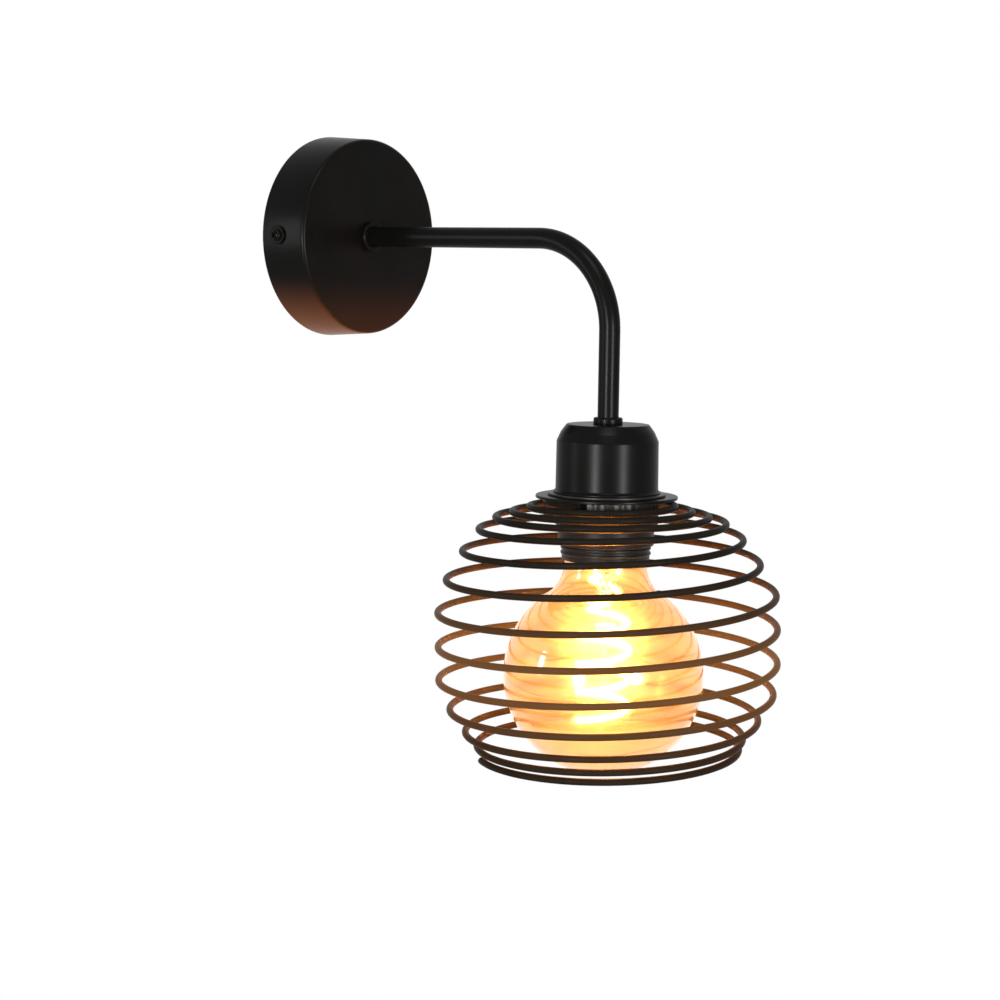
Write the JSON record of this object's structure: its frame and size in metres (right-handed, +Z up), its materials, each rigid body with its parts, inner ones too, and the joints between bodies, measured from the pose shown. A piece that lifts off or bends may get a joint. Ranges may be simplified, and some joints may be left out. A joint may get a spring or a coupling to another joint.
{
  "type": "cage wall light",
  "caption": "Wall light with a round canopy, a bent tube arm and a spiral wire cage hanging round a screw-in globe bulb.",
  "frame": {"origin": "centre of the canopy's back, on the wall", "axes": "+Y into the wall, the arm reaches along -Y, +Z up, +X to the right seen from the room"},
  "size_m": [0.1647, 0.2605, 0.3038],
  "materials": {
    "black_steel": "satin black powder coat",
    "black_socket": "moulded black phenolic",
    "zinc_steel": "bright zinc plate",
    "brass": "plain brass",
    "white_nylon": "natural nylon",
    "porcelain": "glazed porcelain",
    "brown_pvc": "brown wire insulation",
    "blue_pvc": "blue wire insulation",
    "green_pvc": "green and yellow wire insulation",
    "amber_glass": "clear amber glass",
    "clear_glass": "clear glass",
    "nickel": "nickel plate",
    "black_glass": "black vitreous insulator",
    "filament": "glowing phosphor-coated filament",
    "circuit_board": "green circuit board"
  },
  "bodies": {
    "root": {"wall_bracket": "zinc_steel", "canopy": "black_steel", "canopy_side_screws": "black_steel", "canopy_side_washers": "black_steel", "terminal_block": "white_nylon", "terminal_barrels": "brass", "terminal_screws": "zinc_steel", "earth_screw": "brass", "live_wire": "brown_pvc", "neutral_wire": "blue_pvc", "earth_wire": "green_pvc", "arm_tube": "black_steel", "canopy_collar": "black_steel", "arm_lock_washer": "zinc_steel", "arm_lock_nut": "zinc_steel", "cup_collar": "black_steel", "cup_lock_nut": "zinc_steel", "socket_cup": "black_steel", "holder_cap": "black_socket", "holder_sleeve": "black_socket", "holder_core": "porcelain", "holder_rivets": "brass", "wire_clamps": "brass", "screw_shell": "brass", "contact_tongue": "brass"},
    "cage": {"cage_spiral": "black_steel", "cage_top_plate": "black_steel"},
    "shade_ring": {"shade_ring": "black_socket"},
    "bulb_foot": {"bulb_foot_contact": "nickel"},
    "bulb": {"bulb_glass": "amber_glass", "bulb_cap": "nickel", "bulb_cap_insulator": "black_glass", "bulb_stem": "clear_glass", "led_filament": "filament", "filament_clamps": "nickel", "filament_leads": "nickel", "driver_board": "circuit_board", "driver_parts": "black_glass"}
  },
  "joints": [
    {"name": "bulb_travel", "type": "slide", "parent": "root", "child": "bulb_foot", "axis": [0, 0, -1], "range_m": [0, 0.0254]},
    {"name": "bulb_turn", "type": "hinge", "parent": "bulb_foot", "child": "bulb", "pos_m": [0, -0.1785, -0.118], "axis": [0, 0, -1], "range_deg": [0, 2520]},
    {"name": "cage_travel", "type": "slide", "parent": "root", "child": "cage", "axis": [0, 0, -1], "range_m": [0, 0.015]},
    {"name": "ring_turn", "type": "hinge", "parent": "cage", "child": "shade_ring", "pos_m": [0, -0.1785, -0.13], "axis": [0, 0, -1], "range_deg": [0, 2162]}
  ],
  "couplings": [
    {"joint": "bulb_turn", "follows": "bulb_travel", "rad_per_m": 1731.4},
    {"joint": "ring_turn", "follows": "cage_travel", "rad_per_m": 2513.3}
  ]
}
